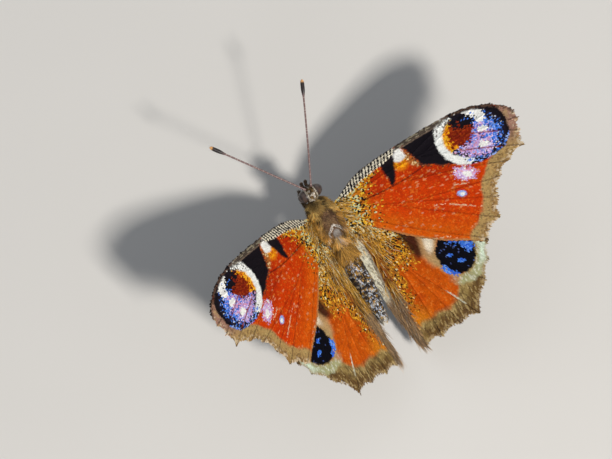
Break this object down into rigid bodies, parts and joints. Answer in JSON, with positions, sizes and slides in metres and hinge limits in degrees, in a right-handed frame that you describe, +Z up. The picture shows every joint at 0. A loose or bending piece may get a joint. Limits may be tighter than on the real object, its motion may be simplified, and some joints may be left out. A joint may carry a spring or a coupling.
{
  "type": "peacock butterfly",
  "caption": "Life-size basking butterfly with spread eyespotted wings, slender clubbed antennae and a furry body.",
  "frame": {"origin": "on the ground under the middle of the whole butterfly", "axes": "+X to the butterfly's right across the wings, +Y the way the head points, +Z up"},
  "size_m": [0.052, 0.0398, 0.0282],
  "materials": {
    "fur": "short golden-brown fur",
    "abdomen": "dark scales and hair, paler at the base and tip",
    "tongue": "dark brown horny coil",
    "eye": "dark brown facetted eye with a soft gloss",
    "antenna": "mauve-brown ringed shaft with a dark, pale-tipped club",
    "leg": "brown scaled leg",
    "forewing": "rust-red scales with black, cream and violet eyespot",
    "hindwing": "rust-orange scales with a black and blue eyespot and olive-brown border"
  },
  "bodies": {
    "root": {"head": "fur", "thorax": "fur", "abdomen": "abdomen", "proboscis": "tongue", "eye_right": "eye", "eye_left": "eye", "antenna_right": "antenna", "antenna_left": "antenna", "palp_right": "fur", "palp_left": "fur", "foreleg_right": "leg", "foreleg_left": "leg", "midleg_right": "leg", "midleg_left": "leg", "hindleg_right": "leg", "hindleg_left": "leg", "forewing_right": "forewing", "forewing_left": "forewing", "hindwing_right": "hindwing", "hindwing_left": "hindwing"}
  },
  "joints": []
}
